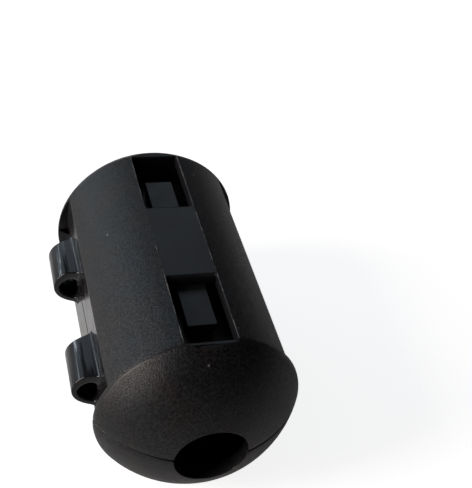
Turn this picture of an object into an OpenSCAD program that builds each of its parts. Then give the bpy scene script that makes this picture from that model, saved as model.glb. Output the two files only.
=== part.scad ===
// Clip-on ferrite bead: a hinged round case that closes two half-round ferrite cores over a cable.
// The cable runs along Y, the case splits at z = 0, the hinge is on the -X side and the latch on +X.

/* [Cable and core] */
// Diameter of the hole in each end of the case
cable_hole_d = 4.9; // [4.4:0.1:5.4]
// How far the bore of the core stays back behind the edge of the hole in the case
core_bore_back = 0.25; // [0.2:0.05:0.4]
// Outer diameter of the two closed core halves
core_d = 9.6; // [9:0.1:11]
// Length of the core
core_l = 18.5; // [16:0.1:24]
// Bevel on the end edges of the core
core_bevel = 0.3; // [0.1:0.05:0.5]

/* [Case] */
// Thickness of the moulded wall
wall = 0.9; // [0.7:0.05:1.2]
// Free space between the core and the wall, which the springs bridge
spring_space = 1.3; // [1.1:0.05:1.8]
// Height of each domed end above its rim, as if it had no hole
dome_h = 4.1; // [3:0.1:5]
// How far the rim lies beyond the end of the core
rim_past_core = 0.17; // [0.16:0.01:0.4]
// Width of the lip that each rim keeps beside a side recess
rim_lip = 0.3; // [0.2:0.05:0.6]
// Depth of the flat on each back, measured from the full round
back_cut = 0.23; // [0.15:0.01:0.5]
// Depth of the flat on the hinge side, measured from the full round
hinge_cut = 0.76; // [0.5:0.01:1]
// Gap between the two shells at the split
seam_gap = 0.15; // [0.05:0.01:0.3]
// Clearance between the core and its seats
seat_gap = 0.07; // [0.03:0.01:0.15]
// Clearance between the core and the wall on the latch side
side_gap = 0.02; // [0.01:0.01:0.1]
// Thickness of the saddle ribs and of the stops at the ends of the core
rib_t = 0.8; // [0.5:0.05:1.2]
// Distance from the middle of the case to the middle of each saddle rib
rib_y = 2; // [1.2:0.1:2.8]

/* [Spring windows] */
// Length of the solid land between the two windows of a back
land_l = 7.3; // [6.4:0.1:8]
// Width of each window
window_w = 3.45; // [2.8:0.05:3.5]
// Width of each spring tongue
tongue_w = 2; // [1.4:0.05:2.2]
// Thickness of each spring tongue
tongue_t = 0.7; // [0.5:0.05:0.75]
// Distance from the back flat down to the top of the tongues
tongue_drop = 0.8; // [0.7:0.01:1]
// Open length of a window beyond the free end of its tongue
window_open = 2.05; // [1.2:0.05:2.6]
// Clearance between the pad of a tongue and the core
pad_gap = 0.03; // [0.02:0.01:0.1]

/* [Latch] */
// Thickness of the lower shell's wall behind the latch flap
latch_wall = 0.5; // [0.4:0.05:0.6]
// Gap between that wall and the flap
flap_gap = 0.08; // [0.05:0.01:0.15]
// Thickness of the latch flap
flap_t = 0.5; // [0.4:0.05:0.6]
// How far the flap reaches past the split
flap_drop = 3.25; // [2.8:0.05:3.6]
// Height of the bar under the windows of the flap
flap_bar = 1.45; // [1.1:0.05:1.6]
// Distance from each end of the flap to the rim
flap_margin = 0.72; // [0.5:0.02:1.2]
// Width of the flap between its two windows
flap_land = 5; // [4:0.1:6]
// Width of the flap outside each window
flap_post = 1.4; // [1:0.1:2]
// Radius of the two free corners of the flap
flap_corner = 0.8; // [0.4:0.1:1]
// How far the upper shell stands proud of the flap at the split
face_step = 0.05; // [0.02:0.01:0.1]
// Lean of the upper shell's latch face, in degrees
face_lean = 7.9; // [5:0.1:9]
// Clearance around each catch lug in its window
lug_gap = 0.25; // [0.15:0.05:0.4]
// Clearance between the catch of a lug and the bar of the flap
catch_gap = 0.1; // [0.05:0.01:0.2]
// Thickness of a lug at its thin upper end
lug_tip = 0.1; // [0.05:0.01:0.2]

/* [Hinge] */
// Width of each hinge strap
strap_w = 3.45; // [3:0.05:4.2]
// Distance between the two straps
strap_space = 6.3; // [5:0.1:6.5]
// Thickness of the straps
strap_t = 0.34; // [0.3:0.02:0.5]
// How far the straps stand out from the hinge flat
strap_reach = 1.78; // [1.5:0.02:2.2]
// Height of a strap where it meets the hinge flat
strap_root_h = 3; // [2.6:0.05:3.4]
// How far the middle of the straps lies below the split
strap_drop = 0.26; // [0:0.01:0.4]

/* [Hidden] */
$fn = 96;
eps = 0.01;
far = 60;

core_r = core_d / 2;
core_bore_r = cable_hole_d / 2 + core_bore_back;
seat_r = core_r + seat_gap;
side_x = core_r + side_gap;
body_r = core_r + spring_space + wall;
rim_y = core_l / 2 + rim_past_core;

// The domed ends are caps of a ball, and the inside of each is a cap of a smaller ball with the same centre.
ball_r = (body_r * body_r + dome_h * dome_h) / (2 * dome_h);
ball_y = rim_y + dome_h - ball_r;
end_y = ball_y + sqrt(ball_r * ball_r - cable_hole_d * cable_hole_d / 4);

back_z = body_r - back_cut;
hinge_x = body_r - hinge_cut;
recess_y = rim_y - rim_lip;

// The stops stand just past the core, and the windows end in line with them.
stop_y = core_l / 2 + seat_gap;
tongue_y = stop_y - window_open;
tongue_top = back_z - tongue_drop;
tongue_low = tongue_top - tongue_t;
pad_low = core_r + pad_gap;
pad_r = (tongue_low - pad_low + tongue_t / 2) / 2;

latch_x = side_x + latch_wall;
flap_in = latch_x + flap_gap;
flap_out = flap_in + flap_t;
face_x = flap_out + face_step;
flap_y = rim_y - flap_margin;
bar_z = flap_bar - flap_drop;
gate_in = flap_land / 2;
gate_out = flap_y - flap_post;

// The section of a strap is a ring that the hinge flat cuts off.
bend_r = (strap_reach * strap_reach + strap_root_h * strap_root_h / 4) / (2 * strap_reach);
bend_x = hinge_x + strap_reach - bend_r;

case_colour = [0.1, 0.1, 0.11];
strap_colour = [0.14, 0.14, 0.16];
core_colour = [0.2, 0.19, 0.19];

// ---- shared forms ----

// A rod of radius r along Y, from y0 to y1
module rod(r, y0, y1) {
    translate([0, y1, 0]) rotate([90, 0, 0]) cylinder(r = r, h = y1 - y0);
}

// A block between two opposite corners
module block(low, high) {
    translate(low) cube(high - low);
}

// A round barrel of radius r, closed at both ends by a ball of radius ball
module domed_barrel(r, ball) {
    intersection() {
        rod(r, -far, far);
        union() {
            rod((r + ball) / 2, -ball_y, ball_y);
            for (side = [-1, 1])
                translate([0, side * ball_y, 0]) sphere(r = ball);
        }
    }
}

// Everything on the upper side of the split, or of its gap
module above_split(gap = 0) {
    intersection() {
        children();
        block([-far, -far, gap / 2], [far, far, far]);
    }
}

// The outside of the case with its back flats and its flat on the hinge side
module case_outside() {
    difference() {
        domed_barrel(body_r, ball_r);
        for (side = [0, 1])
            mirror([0, 0, side]) block([-far, -far, back_z], [far, far, far]);
        block([-far, -recess_y, -far], [-hinge_x, recess_y, far]);
    }
}

// The hollow of the case, a wall's thickness inside its outside
module case_hollow() {
    intersection() {
        domed_barrel(body_r - wall, ball_r - wall);
        block([-hinge_x + wall, -far, wall - back_z], [side_x, far, back_z - wall]);
    }
}

// Saddle ribs under the land and stops at both ends of the core, for one half of the case
module core_seats() {
    for (side = [0, 1])
        mirror([0, side, 0]) {
            difference() {
                block([-far, rib_y - rib_t / 2, -far], [far, rib_y + rib_t / 2, far]);
                rod(seat_r, 0, far);
            }
            difference() {
                block([-far, stop_y, -far], [far, stop_y + rib_t, far]);
                rod(core_bore_r, 0, far);
            }
        }
}

// Both spring tongues of a back: one bar under the land with a round pad near each free end
module spring_tongues() {
    block([-tongue_w / 2, -tongue_y, tongue_low], [tongue_w / 2, tongue_y, tongue_top]);
    block([-tongue_w / 2, -land_l / 2, tongue_low], [tongue_w / 2, land_l / 2, back_z - wall / 2]);
    for (side = [-1, 1])
        translate([-tongue_w / 2, side * (tongue_y - 2 * pad_r), pad_low + pad_r])
            rotate([0, 90, 0]) cylinder(r = pad_r, h = tongue_w);
}

// Openings in one back
module back_windows() {
    for (side = [0, 1])
        mirror([0, side, 0])
            block([-window_w / 2, land_l / 2, core_r], [window_w / 2, stop_y, far]);
}

// One half of the case, above the split, with children() cut from its wall
module half_case() {
    above_split(seam_gap) {
        difference() {
            case_outside();
            difference() {
                case_hollow();
                core_seats();
            }
            back_windows();
            rod(cable_hole_d / 2, -far, far);
            children();
        }
        spring_tongues();
    }
}

// ---- the case ----

// Wedge that the bar of the flap snaps under, as a section in X and Z
module lug_section() {
    polygon([
        [latch_x - eps, bar_z + catch_gap],
        [flap_out, bar_z + catch_gap],
        [latch_x + lug_tip, -seam_gap],
        [latch_x - eps, -seam_gap]
    ]);
}

module lower_shell() {
    color(case_colour) {
        mirror([0, 0, 1])
            half_case() block([latch_x, -recess_y, -far], [far, recess_y, far]);
        for (side = [0, 1])
            mirror([0, side, 0])
                translate([0, gate_out - lug_gap, 0])
                    rotate([90, 0, 0])
                        linear_extrude(height = gate_out - gate_in - 2 * lug_gap) lug_section();
    }
}

module upper_shell() {
    color(case_colour)
        half_case() {
            // leaning face of the latch side
            translate([face_x, 0, 0])
                rotate([0, -face_lean, 0])
                    block([0, -recess_y, -far], [far, recess_y, far]);
            // ramps that carry the windows of the flap up into the wall
            for (side = [0, 1])
                mirror([0, side, 0]) block([flap_in, gate_in, -far], [far, gate_out, far]);
        }
}

module latch_flap() {
    color(case_colour)
        translate([flap_in, 0, 0])
            rotate([90, 0, 90])
                linear_extrude(height = flap_t)
                    difference() {
                        union() {
                            translate([-flap_y, flap_corner - flap_drop])
                                square([2 * flap_y, flap_drop - flap_corner + seam_gap / 2]);
                            translate([flap_corner - flap_y, -flap_drop])
                                square([2 * (flap_y - flap_corner), flap_corner + eps]);
                            for (side = [-1, 1])
                                translate([side * (flap_y - flap_corner), flap_corner - flap_drop])
                                    circle(r = flap_corner);
                        }
                        for (side = [0, 1])
                            mirror([side, 0])
                                translate([gate_in, bar_z]) square([gate_out - gate_in, flap_drop]);
                    }
}

// A ring around an axis along Y, cut off where it meets the hinge flat
module hinge_strap() {
    difference() {
        translate([-bend_x, 0, -strap_drop])
            difference() {
                rod(bend_r, -strap_w / 2, strap_w / 2);
                rod(bend_r - strap_t, -far, far);
            }
        block([-hinge_x, -far, -far], [far, far, far]);
    }
}

module front_hinge_strap() {
    color(strap_colour) translate([0, -(strap_space + strap_w) / 2, 0]) hinge_strap();
}

module rear_hinge_strap() {
    color(strap_colour) translate([0, (strap_space + strap_w) / 2, 0]) hinge_strap();
}

// ---- the cores ----

module half_core() {
    above_split()
        rotate([90, 0, 0])
            rotate_extrude()
                polygon([
                    [core_bore_r, -core_l / 2],
                    [core_r - core_bevel, -core_l / 2],
                    [core_r, core_bevel - core_l / 2],
                    [core_r, core_l / 2 - core_bevel],
                    [core_r - core_bevel, core_l / 2],
                    [core_bore_r, core_l / 2]
                ]);
}

module lower_core() {
    color(core_colour) mirror([0, 0, 1]) half_core();
}

module upper_core() {
    color(core_colour) half_core();
}

lower_shell();
upper_shell();
latch_flap();
front_hinge_strap();
rear_hinge_strap();
lower_core();
upper_core();
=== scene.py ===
import math

import bmesh
import bpy
from mathutils import Matrix, Vector


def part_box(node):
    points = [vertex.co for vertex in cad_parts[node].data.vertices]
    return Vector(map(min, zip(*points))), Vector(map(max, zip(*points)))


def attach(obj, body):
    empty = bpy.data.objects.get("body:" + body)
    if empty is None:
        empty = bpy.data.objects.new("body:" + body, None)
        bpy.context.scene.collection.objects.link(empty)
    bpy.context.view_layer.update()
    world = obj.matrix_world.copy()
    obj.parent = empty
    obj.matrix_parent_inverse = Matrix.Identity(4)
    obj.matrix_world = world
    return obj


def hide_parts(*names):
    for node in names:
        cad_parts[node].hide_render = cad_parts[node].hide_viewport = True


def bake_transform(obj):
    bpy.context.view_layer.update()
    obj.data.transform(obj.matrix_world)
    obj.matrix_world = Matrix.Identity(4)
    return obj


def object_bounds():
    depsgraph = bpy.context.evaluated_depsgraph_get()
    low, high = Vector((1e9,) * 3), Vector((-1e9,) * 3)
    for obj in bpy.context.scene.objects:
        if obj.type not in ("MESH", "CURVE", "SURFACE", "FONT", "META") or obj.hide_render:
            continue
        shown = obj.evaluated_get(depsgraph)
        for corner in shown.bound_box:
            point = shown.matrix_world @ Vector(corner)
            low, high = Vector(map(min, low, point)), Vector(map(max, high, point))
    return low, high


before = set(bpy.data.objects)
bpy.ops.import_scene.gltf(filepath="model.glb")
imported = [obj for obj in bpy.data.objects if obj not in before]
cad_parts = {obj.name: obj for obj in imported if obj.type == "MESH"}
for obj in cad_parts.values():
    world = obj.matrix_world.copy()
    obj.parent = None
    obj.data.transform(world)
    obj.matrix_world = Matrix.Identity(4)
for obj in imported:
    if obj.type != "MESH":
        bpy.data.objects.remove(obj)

MM = 0.001

# ---- driving sizes of the case, in millimetres ----

CAD_LOW, CAD_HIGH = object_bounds()
SHELL_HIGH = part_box("lower_shell")[1]

BODY_R = SHELL_HIGH.x / MM                # the full round of the case
BACK_Z = CAD_HIGH.z / MM                  # height of the back flat above the middle
FLOOR_Z = CAD_LOW.z / MM                  # height of the table
RIM_Y = 9.42                              # where each domed end starts
DOME_H = 4.1                              # height of a domed end above its rim, as if it had no hole
BALL_R = (BODY_R ** 2 + DOME_H ** 2) / (2 * DOME_H)    # a domed end is a cap of a ball of this radius
BALL_Y = RIM_Y + DOME_H - BALL_R          # distance of the ball's centre from the middle of the case
LAND_L = 7.3                              # length of the land between two windows
WINDOW_W = 3.45                           # width of a window
HINGE_X = 6.24                            # distance of the hinge flat from the middle

# ---- edges of the moulding and of the ferrite, in millimetres ----

CASE_EDGE = 0.05                          # radius on the edges of the moulding
CORE_EDGE = 0.12                          # radius on the edges of the ferrite
EDGE_STEPS = 2                            # facets across such an edge
RIM_FILLET = 1.0                          # radius of the rounding between the barrel and a domed end
RIM_STEPS = 8                             # facets across that rounding
LAND_EDGE = 0.32                          # radius on the edges of the land at the windows
LAND_STEPS = 4                            # facets across that radius
LAND_CORNER = 0.12                        # the radius runs out over this width at the sides of the land

SPLIT = 0.075                             # height of a half's face above the middle of the split
CLOSED_X = -2.6                           # the split of the domed ends starts to close here
CLOSED_RUN = 1.6                          # and is closed this far on
CLOSED_GAP = 0.2                          # share of the gap that is left

PARTING_R = 0.06                          # radius of the ridge at a parting line
PARTING_SHORT = 0.1                       # a parting line ends this far short of the rims
PARTING_STEPS = 180                       # points along each ridge
PARTING_SIDES = 10                        # facets round a ridge

# ---- hinge straps, in millimetres ----

STRAP_T = 0.42                            # thickness of a hinge strap
STRAP_ROOT_H = 3.0                        # height of a strap where it meets the hinge flat
STRAP_EDGE = 0.1                          # radius on the edges of a strap
STRAP_EDGE_STEPS = 5                      # points round that radius
STRAP_STEPS = 160                         # points along the bend of a strap
STRAP_FLARE = 0.45                        # how much each side of a strap widens at the case
STRAP_FLARE_REACH = 1.3                   # over this length of the strap
STRAP_ROOT = 0.35                         # radius of the fillet where a strap grows out of the case
STRAP_UPPER = 0.35                        # how much thicker a strap is at its top, on its inside
STRAP_SINK = 0.17                         # how far a strap's ends go into the case
STRAP_END = 0.995                         # what lies beyond this share of the bend is an end

# ---- what counts as the same, in millimetres and degrees ----

WELD = 0.01                               # corners closer than this are one corner
SAME = 0.01                               # a place this close to a plane lies in it
CUT_SNAP = 0.001                          # a cut this close to a corner goes through the corner
ROUND_NEAR = 0.03                         # a place this close to the round outside lies on it
RIM_NEAR = 0.05                           # this close to a rim, barrel and domed end both count
FLAT_TURN = 0.6                           # faces that turn by less make one flat face
ROUNDED_TURN = 25                         # an edge that turns by more is rounded
SHARP_TURN = 60                           # an edge that turns by more isn't shaded across

# ---- the table, in metres: a flat disc whose rim rises in a quarter of a circle ----

TABLE_R = 0.8                             # radius of the flat disc
TABLE_BEND = 0.4                          # radius of the bend of its rim
TABLE_STEPS = 12                          # facets up that bend
TABLE_SIDES = 96                          # sides of the disc


def add_object(name, data):
    """A new object in the scene, at the origin."""
    made = bpy.data.objects.new(name, data)
    bpy.context.scene.collection.objects.link(made)
    return made


# ---- node trees ----

class Tree:
    """A node tree, with short calls to add a node and to link it."""

    def __init__(self, tree):
        self.tree = tree

    def feed(self, entry, value):
        """Links another node's output to an input, or sets the input to a plain value."""
        if isinstance(value, bpy.types.NodeSocket):
            self.tree.links.new(value, entry)
        else:
            entry.default_value = value

    def add(self, kind, inputs=(), **settings):
        """A new node with these settings, whose inputs are linked or set."""
        node = self.tree.nodes.new(kind)
        for key, value in settings.items():
            setattr(node, key, value)
        for key, value in dict(inputs).items():
            self.feed(node.inputs[key], value)
        return node

    def first(self, kind, inputs=(), **settings):
        """The first output of a new node."""
        return self.add(kind, inputs, **settings).outputs[0]

    def maths(self, operation, a, b=0.0):
        """The result of one sum."""
        return self.first("ShaderNodeMath", {0: a, 1: b}, operation=operation)

    def ramp(self, value, source, target=(0.0, 1.0)):
        """The value carried from the source range to the target range, and held at its ends."""
        return self.first("ShaderNodeMapRange", {
            "Value": value,
            "From Min": source[0],
            "From Max": source[1],
            "To Min": target[0],
            "To Max": target[1],
        })


class Look(Tree):
    """A material, with calls for what its shader takes from the place on the object."""

    def __init__(self, name):
        self.material = bpy.data.materials.new(name)
        self.material.use_nodes = True
        super().__init__(self.material.node_tree)
        self.shader = self.node_of_type("BSDF_PRINCIPLED")

    def node_of_type(self, kind):
        """The node of this type that the new material came with."""
        return next(node for node in self.tree.nodes if node.type == kind)

    def place(self):
        """The place on the object, in millimetres."""
        metres = self.add("ShaderNodeTexCoord").outputs["Object"]
        return self.first("ShaderNodeVectorMath", {0: metres, "Scale": 1 / MM}, operation="SCALE")

    def noise(self, place, per_mm, detail=2.0, roughness=0.5):
        """Uneven clouds, so many to a millimetre, with values round a half."""
        return self.first("ShaderNodeTexNoise", {
            "Vector": place,
            "Scale": per_mm,
            "Detail": detail,
            "Roughness": roughness,
        })

    def cells(self, place, per_mm):
        """A node that splits the place into uneven cells, so many to a millimetre."""
        return self.add("ShaderNodeTexVoronoi", {"Vector": place, "Scale": per_mm})

    def specks(self, place, cell_mm, size_mm, grey):
        """1 on round specks with soft edges, in the cells whose random grey is under this one, or else 0."""
        cells = self.cells(place, 1 / cell_mm)
        outer, inner = 0.6 * size_mm / cell_mm, 0.4 * size_mm / cell_mm
        near = self.ramp(cells.outputs["Distance"], (outer, inner))
        picked = self.maths("LESS_THAN", cells.outputs["Color"], grey)
        return self.maths("MULTIPLY", near, picked)

    def mix(self, share, colour_a, colour_b):
        """The first colour where the share is 0, and the second where it is 1."""
        # A Mix node has a set of sockets for each kind of value. These are the ones for colours.
        node = self.add("ShaderNodeMix", {0: share, 6: colour_a, 7: colour_b}, data_type="RGBA")
        return node.outputs[2]

    def bump(self, height, depth_mm, normal=None):
        """The relief of a height of 0 to 1, on top of another relief where there is one."""
        inputs = {"Height": height, "Distance": depth_mm * MM}
        if normal is not None:
            inputs["Normal"] = normal
        return self.first("ShaderNodeBump", inputs)

    def finish(self, colour, roughness, normal, specular):
        """The material, with its colour, roughness and relief linked to its shader."""
        self.feed(self.shader.inputs["Base Color"], colour)
        self.feed(self.shader.inputs["Roughness"], roughness)
        self.feed(self.shader.inputs["Normal"], normal)
        self.shader.inputs["Specular IOR Level"].default_value = specular
        return self.material


class ShapeTree(Tree):
    """A Geometry Nodes tree with named inputs for its sizes."""

    def __init__(self, name, sizes):
        super().__init__(bpy.data.node_groups.new(name, "GeometryNodeTree"))
        sockets = self.tree.interface
        sockets.new_socket("Geometry", in_out="INPUT", socket_type="NodeSocketGeometry")
        sockets.new_socket("Geometry", in_out="OUTPUT", socket_type="NodeSocketGeometry")
        for size in sizes:
            sockets.new_socket(size, in_out="INPUT", socket_type="NodeSocketFloat")
        self.sizes = self.add("NodeGroupInput").outputs

    def vector(self, x=0.0, y=0.0, z=0.0):
        """A place or a move."""
        return self.first("ShaderNodeCombineXYZ", {"X": x, "Y": y, "Z": z})

    def quarter(self, distance, reach):
        """1 at no distance, which falls to 0 at reach along a quarter round."""
        near = self.maths("SUBTRACT", 1.0, self.maths("DIVIDE", distance, reach))
        near = self.maths("MINIMUM", self.maths("MAXIMUM", near, 0.0), 1.0)
        rest = self.maths("SUBTRACT", 1.0, self.maths("MULTIPLY", near, near))
        return self.maths("SUBTRACT", 1.0, self.maths("SQRT", rest))

    def finish(self, geometry, material):
        """Ends the tree with the whole mesh and its material."""
        whole = self.first("GeometryNodeRealizeInstances", {"Geometry": geometry})
        dressed = self.first("GeometryNodeSetMaterial", {"Geometry": whole, "Material": material})
        self.add("NodeGroupOutput", {"Geometry": dressed})
        return self.tree


def by_nodes(name, tree, sizes):
    """A plain mesh object made by the tree with these sizes."""
    holder = add_object("holder", bpy.data.meshes.new("holder"))
    maker = holder.modifiers.new("shape", "NODES")
    maker.node_group = tree
    for item in tree.interface.items_tree:
        if item.in_out == "INPUT" and item.name in sizes:
            maker[item.identifier] = sizes[item.name]
    made = holder.evaluated_get(bpy.context.evaluated_depsgraph_get())
    mesh = bpy.data.meshes.new_from_object(made)
    holder.modifiers.clear()
    bpy.data.objects.remove(holder)
    mesh.name = name
    return add_object(name, mesh)


# ---- finishes ----

def grained_nylon():
    """Black nylon off a spark-eroded mould: fine pits, faint mottling and a few specks of dust."""
    look = Look("black_nylon_grained")
    dark = (0.003, 0.003, 0.004, 1)
    cool = (0.027, 0.032, 0.036, 1)
    warm = (0.035, 0.032, 0.029, 1)
    dust = (0.2, 0.195, 0.19, 1)
    place = look.place()
    grain = look.noise(place, per_mm=8.5, detail=3.0, roughness=0.65)
    speckle = look.noise(place, per_mm=6.0, detail=4.0, roughness=0.75)
    cloud = look.noise(place, per_mm=0.35)
    patches = look.noise(place, per_mm=1.8, detail=3.0)
    pale = look.mix(look.ramp(cloud, (0.4, 0.6)), cool, warm)
    colour = look.mix(look.ramp(speckle, (0.42, 0.64)), dark, pale)
    colour = look.mix(look.specks(place, cell_mm=1.2, size_mm=0.15, grey=0.3), colour, dust)
    fine_part = look.ramp(grain, (0.3, 0.7), (0.24, 0.36))
    broad_part = look.ramp(patches, (0.3, 0.7), (0.0, 0.07))
    roughness = look.maths("ADD", fine_part, broad_part)
    pits = look.cells(place, per_mm=16.0).outputs["Distance"]
    normal = look.bump(pits, depth_mm=0.018)
    return look.finish(colour, roughness, normal, specular=0.38)


def smooth_nylon():
    """Black nylon off a smooth part of the mould: satin, with faint even clouds."""
    look = Look("black_nylon_smooth")
    cool = (0.010, 0.011, 0.013, 1)
    warm = (0.014, 0.014, 0.015, 1)
    place = look.place()
    cloud = look.noise(place, per_mm=0.8)
    fine = look.noise(place, per_mm=12.0)
    colour = look.mix(look.ramp(cloud, (0.35, 0.65)), cool, warm)
    roughness = look.ramp(cloud, (0.3, 0.7), (0.32, 0.4))
    normal = look.bump(fine, depth_mm=0.008)
    return look.finish(colour, roughness, normal, specular=0.38)


def strap_nylon():
    """Black nylon of the hinge straps: glossy, with fine drawn lines that run along the hinge."""
    look = Look("black_nylon_strap")
    cool = (0.010, 0.012, 0.015, 1)
    warm = (0.014, 0.014, 0.016, 1)
    place = look.place()
    stretched = look.first("ShaderNodeMapping", {"Vector": place, "Scale": (1.0, 0.04, 1.0)})
    drawn = look.noise(stretched, per_mm=3.2, roughness=0.55)
    fine = look.noise(place, per_mm=9.0)
    colour = look.mix(look.ramp(drawn, (0.35, 0.65)), cool, warm)
    roughness = look.ramp(fine, (0.3, 0.7), (0.08, 0.13))
    # The lines run out on the sides of a strap, which face along the hinge.
    facing = look.add("ShaderNodeNewGeometry").outputs["Normal"]
    facing = look.add("ShaderNodeSeparateXYZ", {"Vector": facing}).outputs
    sideways = look.maths("ABSOLUTE", facing["Y"])
    lines = look.maths("MULTIPLY", drawn, look.ramp(sideways, (0.2, 0.5), (1.0, 0.0)))
    normal = look.bump(lines, depth_mm=0.035)
    normal = look.bump(fine, depth_mm=0.002, normal=normal)
    return look.finish(colour, roughness, normal, specular=0.45)


def flat_nylon():
    """Black nylon of the hinge flats: glossy off a polished insert, with faint waves and rubbed patches."""
    look = Look("black_nylon_flat")
    clean = (0.011, 0.012, 0.014, 1)
    dulled = (0.020, 0.018, 0.017, 1)
    place = look.place()
    rubbed = look.noise(place, per_mm=0.9, detail=3.0, roughness=0.6)
    fine = look.noise(place, per_mm=9.0)
    colour = look.mix(look.ramp(rubbed, (0.35, 0.65)), clean, dulled)
    broad_part = look.ramp(rubbed, (0.35, 0.65), (0.13, 0.2))
    fine_part = look.ramp(fine, (0.3, 0.7), (0.0, 0.04))
    roughness = look.maths("ADD", broad_part, fine_part)
    normal = look.bump(rubbed, depth_mm=0.02)
    normal = look.bump(fine, depth_mm=0.002, normal=normal)
    return look.finish(colour, roughness, normal, specular=0.45)


def worn_highlit_nylon():
    """Black nylon pale with scuffing, as on a thin flash, and paler still with a painted highlight where the
    thin ridge catches the light.
    """
    look = Look("black_nylon_scuffed")
    clean = (0.02, 0.02, 0.021, 1)
    # This pale colour is partly real scuffing and partly a painted highlight along the ridge.
    pale_wear_and_highlight = (0.10, 0.097, 0.094, 1)
    wear_and_highlight_mask = look.noise(look.place(), per_mm=2.5, detail=3.0, roughness=0.6)
    colour = look.mix(look.ramp(wear_and_highlight_mask, (0.4, 0.65)), clean, pale_wear_and_highlight)
    roughness = look.ramp(wear_and_highlight_mask, (0.3, 0.7), (0.3, 0.5))
    normal = look.bump(wear_and_highlight_mask, depth_mm=0.02)
    return look.finish(colour, roughness, normal, specular=0.4)


def ferrite():
    """Sintered ferrite: dark grey, pressed and tumbled, with fine pits."""
    look = Look("ferrite")
    dark = (0.030, 0.029, 0.028, 1)
    pale = (0.045, 0.043, 0.042, 1)
    place = look.place()
    cloud = look.noise(place, per_mm=1.2, detail=3.0)
    grain = look.noise(place, per_mm=10.0, detail=3.0, roughness=0.6)
    colour = look.mix(look.ramp(cloud, (0.35, 0.65)), dark, pale)
    roughness = look.ramp(grain, (0.3, 0.7), (0.4, 0.6))
    normal = look.bump(grain, depth_mm=0.02)
    return look.finish(colour, roughness, normal, specular=0.4)


GRAINED = grained_nylon()
SMOOTH = smooth_nylon()
STRAP = strap_nylon()
FLAT = flat_nylon()
WORN_AND_HIGHLIT = worn_highlit_nylon()
FERRITE = ferrite()


# ---- pieces that finish a node's own shape ----

def solid_copy(node, name, materials, changes=()):
    """A piece with the node's shape, as one closed mesh whose flat faces are whole, and then the changes."""
    mesh = bpy.data.meshes.new(name)
    shape = bmesh.new()
    shape.from_mesh(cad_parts[node].data)
    bmesh.ops.remove_doubles(shape, verts=shape.verts, dist=WELD * MM)
    bmesh.ops.dissolve_limit(shape, angle_limit=math.radians(FLAT_TURN), verts=shape.verts, edges=shape.edges)
    for change in changes:
        change(shape)
    for face in shape.faces:
        face.smooth = True
    shape.to_mesh(mesh)
    shape.free()
    for material in materials:
        mesh.materials.append(material)
    return add_object(name, mesh)


def round_edges(piece, radius):
    """Rounds the edges that turn enough, and lets the large faces set the shading."""
    bevel = piece.modifiers.new("rounded_edges", "BEVEL")
    bevel.width = radius * MM
    bevel.segments = EDGE_STEPS
    bevel.limit_method = "ANGLE"
    bevel.angle_limit = math.radians(ROUNDED_TURN)
    bevel.use_clamp_overlap = False
    weighted = piece.modifiers.new("even_shading", "WEIGHTED_NORMAL")
    weighted.keep_sharp = True
    piece.data.set_sharp_from_angle(angle=math.radians(SHARP_TURN))


def cut(shape, place, normal):
    """Splits the faces that cross the plane through this place, in metres, and keeps both sides."""
    bmesh.ops.bisect_plane(shape, geom=shape.verts[:] + shape.edges[:] + shape.faces[:],
                           dist=CUT_SNAP * MM, plane_co=place, plane_no=normal)


def on_round(point):
    """Whether a place, in millimetres, lies on the round outside of the case."""
    out = math.hypot(point.x, point.z)
    along = abs(point.y)
    if along <= RIM_Y + RIM_NEAR and abs(out - BODY_R) < ROUND_NEAR:
        return True
    return along >= RIM_Y - RIM_NEAR and abs(math.hypot(out, along - BALL_Y) - BALL_R) < ROUND_NEAR


def soft_rims(shape):
    """Rounds the crease between the barrel and each domed end with a fillet that touches both."""
    low = BALL_Y + math.sqrt((BALL_R - RIM_FILLET) ** 2 - (BODY_R - RIM_FILLET) ** 2)
    high = BALL_Y + (low - BALL_Y) * BALL_R / (BALL_R - RIM_FILLET)
    # One more cut, before the fillet, keeps its shading off the rest of the barrel.
    cuts = [low - (high - low)] + [low + (high - low) * step / RIM_STEPS for step in range(RIM_STEPS + 1)]
    for side in (-1, 1):
        for along in cuts:
            cut(shape, (0, side * along * MM, 0), (0, side, 0))
    for corner in shape.verts:
        point = corner.co / MM
        along = abs(point.y)
        if low < along < high and on_round(point):
            now = min(BODY_R, math.sqrt(BALL_R ** 2 - (along - BALL_Y) ** 2))
            wanted = BODY_R - RIM_FILLET + math.sqrt(RIM_FILLET ** 2 - (along - low) ** 2)
            corner.co.x *= wanted / now
            corner.co.z *= wanted / now


def soft_land(shape):
    """Rounds the edges of the land that look into the two windows, except close to their corners."""
    inner = LAND_L / 2 - LAND_EDGE
    for side in (-1, 1):
        for back in (0.0, LAND_CORNER):
            cut(shape, (side * (WINDOW_W / 2 - back) * MM, 0, 0), (1, 0, 0))
    for side in (-1, 1):
        for step in range(LAND_STEPS):
            along = inner + LAND_EDGE * math.sin(math.radians(90 / LAND_STEPS * step))
            cut(shape, (0, side * along * MM, 0), (0, 1, 0))
    for corner in shape.verts:
        point = corner.co / MM
        along = abs(point.y) - inner
        on_back = abs(abs(point.z) - BACK_Z) < SAME
        off_corner = abs(point.x) < (WINDOW_W - LAND_CORNER) / 2
        if on_back and off_corner and 0 < along < LAND_EDGE + SAME:
            drop = LAND_EDGE - math.sqrt(max(0.0, LAND_EDGE ** 2 - along ** 2))
            corner.co.z -= math.copysign(drop * MM, point.z)


def closed_ends(shape):
    """Draws the two halves together on the hinge side of each domed end, where the split hardly shows."""
    for corner in shape.verts:
        point = corner.co / MM
        if abs(abs(point.z) - SPLIT) < SAME and abs(point.y) > RIM_Y:
            share = min(1.0, max(0.0, (CLOSED_X - point.x) / CLOSED_RUN))
            corner.co.z *= 1 - share * (1 - CLOSED_GAP)


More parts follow.
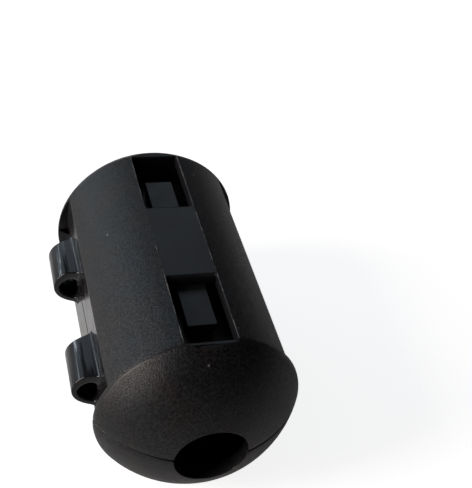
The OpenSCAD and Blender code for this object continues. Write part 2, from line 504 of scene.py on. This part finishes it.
def shell(node, name, body):
    """A half of the case: grained on its round outside, glossy on the hinge flat, smooth everywhere else."""
    finishes = (GRAINED, SMOOTH, FLAT)
    piece = solid_copy(node, name, finishes, (soft_rims, soft_land, closed_ends))
    for face in piece.data.polygons:
        corners = [piece.data.vertices[i].co / MM for i in face.vertices]
        if all(abs(corner.x + HINGE_X) < SAME for corner in corners):
            face.material_index = finishes.index(FLAT)
        elif not all(on_round(place) for place in corners + [face.center / MM]):
            face.material_index = finishes.index(SMOOTH)
    round_edges(piece, CASE_EDGE)
    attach(piece, body)
    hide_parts(node)


def plain_piece(node, name, body, material, radius):
    """A piece of one finish, with the node's shape and rounded edges."""
    piece = solid_copy(node, name, (material,))
    round_edges(piece, radius)
    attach(piece, body)
    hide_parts(node)


# ---- parting lines ----

def parting_tree():
    """Two uneven ridges along the edges of a back, where the insert of the mould met the rest."""
    tree = ShapeTree("parting_lines", ("Half length", "Half spacing", "Height", "Ridge", "Seed"))
    sizes = tree.sizes
    lines = tree.add("GeometryNodeJoinGeometry")
    for side in (-1.0, 1.0):
        x = tree.maths("MULTIPLY", sizes["Half spacing"], side)
        ends = [tree.vector(x, tree.maths("MULTIPLY", sizes["Half length"], end), sizes["Height"])
                for end in (-1.0, 1.0)]
        line = tree.first("GeometryNodeCurvePrimitiveLine", {"Start": ends[0], "End": ends[1]})
        tree.feed(lines.inputs["Geometry"], line)
    path = tree.first("GeometryNodeResampleCurve", {"Curve": lines.outputs[0], "Count": PARTING_STEPS})
    uneven = tree.first("ShaderNodeTexNoise", {
        "Vector": tree.first("GeometryNodeInputPosition"),
        "W": sizes["Seed"],
        "Scale": 1.1 / MM,
        "Detail": 3.0,
    }, noise_dimensions="4D")
    section = tree.first("GeometryNodeCurvePrimitiveCircle", {
        "Resolution": PARTING_SIDES,
        "Radius": sizes["Ridge"],
    })
    ridges = tree.first("GeometryNodeCurveToMesh", {
        "Curve": path,
        "Profile Curve": section,
        "Scale": tree.ramp(uneven, (0.44, 0.66), (0.08, 1.0)),
        "Fill Caps": True,
    })
    ridges = tree.first("GeometryNodeSetShadeSmooth", {"Geometry": ridges})
    return tree.finish(ridges, WORN_AND_HIGHLIT)


def parting_lines(tree, name, body, back_z, seed):
    """The parting lines of one half of the case."""
    piece = by_nodes(name, tree, {
        "Half length": (RIM_Y - PARTING_SHORT) * MM,
        "Half spacing": math.sqrt(BODY_R ** 2 - BACK_Z ** 2) * MM,
        "Height": back_z * MM,
        "Ridge": PARTING_R * MM,
        "Seed": seed,
    })
    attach(piece, body)


# ---- hinge straps ----

def bent_strip(tree, middle):
    """A strip with rounded edges, bent round Y at the middle radius, and furthest out towards -X."""
    sizes = tree.sizes
    arc = tree.first("GeometryNodeCurveArc", {
        "Resolution": STRAP_STEPS,
        "Radius": middle,
        "Start Angle": tree.maths("SUBTRACT", math.pi, sizes["Half angle"]),
        "Sweep Angle": tree.maths("MULTIPLY", sizes["Half angle"], 2.0),
    })
    section = tree.first("GeometryNodeCurvePrimitiveQuadrilateral", {
        "Width": sizes["Thickness"],
        "Height": sizes["Width"],
    })
    section = tree.first("GeometryNodeFilletCurve", {
        "Curve": section,
        "Count": STRAP_EDGE_STEPS,
        "Radius": sizes["Edge radius"],
    }, mode="POLY")
    strip = tree.first("GeometryNodeCurveToMesh", {"Curve": arc, "Profile Curve": section, "Fill Caps": True})
    # The arc is drawn round Z, so the strip is turned to lie round Y.
    return tree.first("GeometryNodeTransform", {"Geometry": strip, "Rotation": (math.pi / 2, 0.0, 0.0)})


def strap_tree():
    """A rounded strip bent round an arc, which grows wider and thicker towards the case."""
    tree = ShapeTree("hinge_strap", (
        "Bend radius", "Thickness", "Width", "Edge radius", "Half angle",
        "Flare", "Flare reach", "Root fillet", "Upper growth",
        "Case plane", "Sink", "Centre X", "Centre Y", "Centre Z",
    ))
    sizes, maths = tree.sizes, tree.maths
    half_thickness = maths("MULTIPLY", sizes["Thickness"], 0.5)
    half_width = maths("MULTIPLY", sizes["Width"], 0.5)
    middle = maths("SUBTRACT", sizes["Bend radius"], half_thickness)
    strip = bent_strip(tree, middle)

    # Across runs from -1 to 1 between the sides of the strip, and skin from -1 on its inside to 1 on its
    # outside. Out is the distance from the centre of the bend, and turned is the angle round it.
    place = tree.add("ShaderNodeSeparateXYZ", {"Vector": tree.first("GeometryNodeInputPosition")}).outputs
    across = maths("DIVIDE", place["Y"], half_width)
    spoke = tree.vector(place["X"], 0.0, place["Z"])
    out = tree.add("ShaderNodeVectorMath", {0: spoke}, operation="LENGTH").outputs["Value"]
    skin = maths("DIVIDE", maths("SUBTRACT", out, middle), half_thickness)
    turned = maths("ARCTAN2", place["Z"], maths("MULTIPLY", place["X"], -1.0))
    to_case = maths("MAXIMUM", maths("SUBTRACT", sizes["Case plane"], place["X"]), 0.0)

    # The edges flare like a quarter of an ellipse, and the skin meets the case in a quarter round.
    wider = maths("MULTIPLY", tree.quarter(to_case, sizes["Flare reach"]), sizes["Flare"])
    wider = maths("MULTIPLY", wider, across)
    thicker = maths("MULTIPLY", tree.quarter(to_case, sizes["Root fillet"]), sizes["Root fillet"])
    thicker = maths("MULTIPLY", thicker, skin)
    # The inside of the upper part is thicker than that of the lower one.
    upper = maths("MULTIPLY", maths("MAXIMUM", maths("SINE", turned), 0.0), sizes["Upper growth"])
    thicker = maths("ADD", thicker, maths("MULTIPLY", upper, maths("MINIMUM", skin, 0.0)))
    thicker = maths("DIVIDE", thicker, out)
    move = tree.vector(maths("MULTIPLY", place["X"], thicker), wider, maths("MULTIPLY", place["Z"], thicker))
    strip = tree.first("GeometryNodeSetPosition", {"Geometry": strip, "Offset": move})

    # Both ends are drawn square into the wall of the case.
    last = maths("MULTIPLY", sizes["Half angle"], STRAP_END)
    inside = tree.vector(maths("ADD", sizes["Case plane"], sizes["Sink"]), place["Y"], place["Z"])
    strip = tree.first("GeometryNodeSetPosition", {
        "Geometry": strip,
        "Selection": maths("GREATER_THAN", maths("ABSOLUTE", turned), last),
        "Position": inside,
    })
    centre = tree.vector(sizes["Centre X"], sizes["Centre Y"], sizes["Centre Z"])
    strip = tree.first("GeometryNodeTransform", {"Geometry": strip, "Translation": centre})
    strip = tree.first("GeometryNodeSetShadeSmooth", {"Geometry": strip})
    return tree.finish(strip, STRAP)


def strap(tree, node, name):
    """A hinge strap, which bends from the lower half to the upper one."""
    low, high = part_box(node)
    # The outside of the strap is an arc through its furthest point and its two roots on the hinge flat.
    reach = -low.x / MM - HINGE_X
    radius = (reach ** 2 + STRAP_ROOT_H ** 2 / 4) / (2 * reach)
    centre_x = radius - HINGE_X - reach
    centre_z = (low.z + high.z) / 2 / MM
    middle = radius - STRAP_T / 2
    half_angle = math.pi - math.acos((-HINGE_X - centre_x) / middle) + STRAP_SINK / middle
    piece = by_nodes(name, tree, {
        "Bend radius": radius * MM,
        "Thickness": STRAP_T * MM,
        "Width": high.y - low.y,
        "Edge radius": STRAP_EDGE * MM,
        "Half angle": half_angle,
        "Flare": STRAP_FLARE * MM,
        "Flare reach": STRAP_FLARE_REACH * MM,
        "Root fillet": STRAP_ROOT * MM,
        "Upper growth": STRAP_UPPER * MM,
        "Case plane": (-HINGE_X - centre_x) * MM,
        "Sink": STRAP_SINK * MM,
        "Centre X": centre_x * MM,
        "Centre Y": (low.y + high.y) / 2,
        "Centre Z": centre_z * MM,
    })
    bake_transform(piece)
    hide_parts(node)


shell("lower_shell", "lower_case_half", "lower_half")
shell("upper_shell", "upper_case_half", "upper_half")
plain_piece("latch_flap", "latch_flap_finished", "upper_half", SMOOTH, CASE_EDGE)
plain_piece("lower_core", "lower_ferrite_half", "lower_half", FERRITE, CORE_EDGE)
plain_piece("upper_core", "upper_ferrite_half", "upper_half", FERRITE, CORE_EDGE)
PARTING_TREE = parting_tree()
parting_lines(PARTING_TREE, "lower_parting_lines", "lower_half", -BACK_Z, seed=3.0)
parting_lines(PARTING_TREE, "upper_parting_lines", "upper_half", BACK_Z, seed=8.0)
STRAP_TREE = strap_tree()
strap(STRAP_TREE, "front_hinge_strap", "front_strap_finished")
strap(STRAP_TREE, "rear_hinge_strap", "rear_strap_finished")


# ---- camera, lamps and table ----

CAMERA_PLACE = Vector((-14.869, -44.865, 48.736))      # in millimetres
CAMERA_AIM = Vector((6.828, 6.310, 0.0))               # the middle of its view, at the height of the split
CAMERA_ROLL = 12.033                                   # in degrees, anticlockwise as seen from behind it
LENS = 67.698                                          # focal length, in millimetres
SENSOR = 36.0                                          # width of the sensor, in millimetres
CLIP_NEAR, CLIP_FAR = 0.002, 10.0                      # in metres

LAMP_DISTANCE = 0.6                                    # from the middle of the part, in metres
SKY_COLOUR = (0.88, 0.84, 1.0, 1)
SKY_STRENGTH = 0.025

TABLE_COLOUR = (0.7, 0.7, 0.7, 1)
TABLE_ROUGHNESS = 0.8
TABLE_SEEN = 0.85                                      # how bright the camera sees it, where 1 is white
TABLE_RIM = (500.0, 900.0)                             # it turns into its rim over these millimetres
TABLE_RIM_COLOUR = (0.15, 0.15, 0.15, 1)
GLOW_PLACE = (-10.0, 8.0, FLOOR_Z)                     # reflections of the table are brightest here
GLOW_FADE = (5.0, 16.0)                                # and fade over these millimetres
GLOW = (0.36, 0.09)                                    # from the first brightness to the second
RIM_GLOW = (1.0, 0.28)                                 # share of it on the table and on its rim


def camera():
    """Looks down on the domed end from above the hinge side."""
    data = bpy.data.cameras.new("camera")
    data.sensor_width = SENSOR
    data.lens = LENS
    data.clip_start = CLIP_NEAR
    data.clip_end = CLIP_FAR
    holder = add_object("camera", data)
    aimed = (CAMERA_AIM - CAMERA_PLACE).to_track_quat("-Z", "Y").to_matrix().to_4x4()
    rolled = Matrix.Rotation(math.radians(CAMERA_ROLL), 4, "Z")
    holder.matrix_world = Matrix.Translation(CAMERA_PLACE * MM) @ aimed @ rolled
    bpy.context.scene.camera = holder


def softbox(name, azimuth, elevation, width, height, brightness, colour):
    """A soft lamp aimed at the part. Azimuth runs from +X towards +Y, and 1 is as bright as a white wall."""
    data = bpy.data.lights.new(name, "AREA")
    data.shape = "RECTANGLE"
    data.size = width
    data.size_y = height
    data.energy = math.pi * width * height * brightness
    data.color = colour
    lamp = add_object(name, data)
    turn, rise = math.radians(azimuth), math.radians(elevation)
    direction = Vector((math.cos(rise) * math.cos(turn), math.cos(rise) * math.sin(turn), math.sin(rise)))
    lamp.location = direction * LAMP_DISTANCE
    lamp.rotation_euler = lamp.location.to_track_quat("Z", "Y").to_euler()


def sky():
    """Dim even light from all round."""
    world = bpy.data.worlds.new("studio")
    world.use_nodes = True
    background = world.node_tree.nodes["Background"]
    background.inputs["Color"].default_value = SKY_COLOUR
    background.inputs["Strength"].default_value = SKY_STRENGTH
    bpy.context.scene.world = world


def table_finish():
    """Pale matt grey that shows white to the camera and keeps the part's shadow, with a darker rim."""
    look = Look("pale_table")
    away = look.add("ShaderNodeVectorMath", {0: look.place(), 1: GLOW_PLACE}, operation="DISTANCE")
    away = away.outputs["Value"]
    colour = look.mix(look.ramp(away, TABLE_RIM), TABLE_COLOUR, TABLE_RIM_COLOUR)
    look.feed(look.shader.inputs["Base Color"], colour)
    look.shader.inputs["Roughness"].default_value = TABLE_ROUGHNESS
    look.shader.inputs["Specular IOR Level"].default_value = 0.0
    ray = look.add("ShaderNodeLightPath").outputs
    mirrored = look.maths("MAXIMUM", ray["Is Glossy Ray"], ray["Is Transmission Ray"])
    mirrored = look.maths("MULTIPLY", mirrored, look.ramp(away, GLOW_FADE, GLOW))
    mirrored = look.maths("MULTIPLY", mirrored, look.ramp(away, TABLE_RIM, RIM_GLOW))
    seen = look.maths("ADD", look.maths("MULTIPLY", ray["Is Camera Ray"], TABLE_SEEN), mirrored)
    white = look.first("ShaderNodeEmission", {"Color": (1, 1, 1, 1), "Strength": seen})
    both = look.first("ShaderNodeAddShader", {0: look.shader.outputs[0], 1: white})
    look.feed(look.node_of_type("OUTPUT_MATERIAL").inputs["Surface"], both)
    return look.material


def table():
    """The flat disc that the part lies on. Its rim rises, so that a low view has it as a backdrop."""
    rings = []
    for step in range(TABLE_STEPS + 1):
        bend = math.pi / 2 * step / TABLE_STEPS
        rings.append((TABLE_R + TABLE_BEND * math.sin(bend), TABLE_BEND * (1 - math.cos(bend))))
    turns = [math.tau * side / TABLE_SIDES for side in range(TABLE_SIDES)]
    points = [(radius * math.cos(turn), radius * math.sin(turn), FLOOR_Z * MM + height)
              for radius, height in rings for turn in turns]
    disc = tuple(range(TABLE_SIDES))
    rim = []
    for ring in range(0, TABLE_STEPS * TABLE_SIDES, TABLE_SIDES):
        for side in range(TABLE_SIDES):
            here = ring + side
            beside = ring + (side + 1) % TABLE_SIDES
            rim.append((here, beside, beside + TABLE_SIDES, here + TABLE_SIDES))
    mesh = bpy.data.meshes.new("table")
    mesh.from_pydata(points, [], [disc] + rim)
    mesh.polygons.foreach_set("use_smooth", [False] + [True] * len(rim))
    mesh.materials.append(table_finish())
    table = add_object("table", mesh)


camera()
softbox("key_lamp", azimuth=184, elevation=19, width=0.22, height=0.42, brightness=11.3,
        colour=(1.0, 0.90, 0.85))
softbox("window_lamp", azimuth=130, elevation=17, width=0.45, height=0.34, brightness=0.75,
        colour=(0.72, 0.88, 1.0))
softbox("strip_lamp", azimuth=134, elevation=14, width=0.45, height=0.025, brightness=8.5,
        colour=(0.80, 0.92, 1.0))
softbox("back_lamp", azimuth=92, elevation=42, width=0.5, height=0.3, brightness=0.7,
        colour=(0.76, 0.88, 1.0))
sky()
table()
bpy.context.scene.view_settings.view_transform = "Standard"
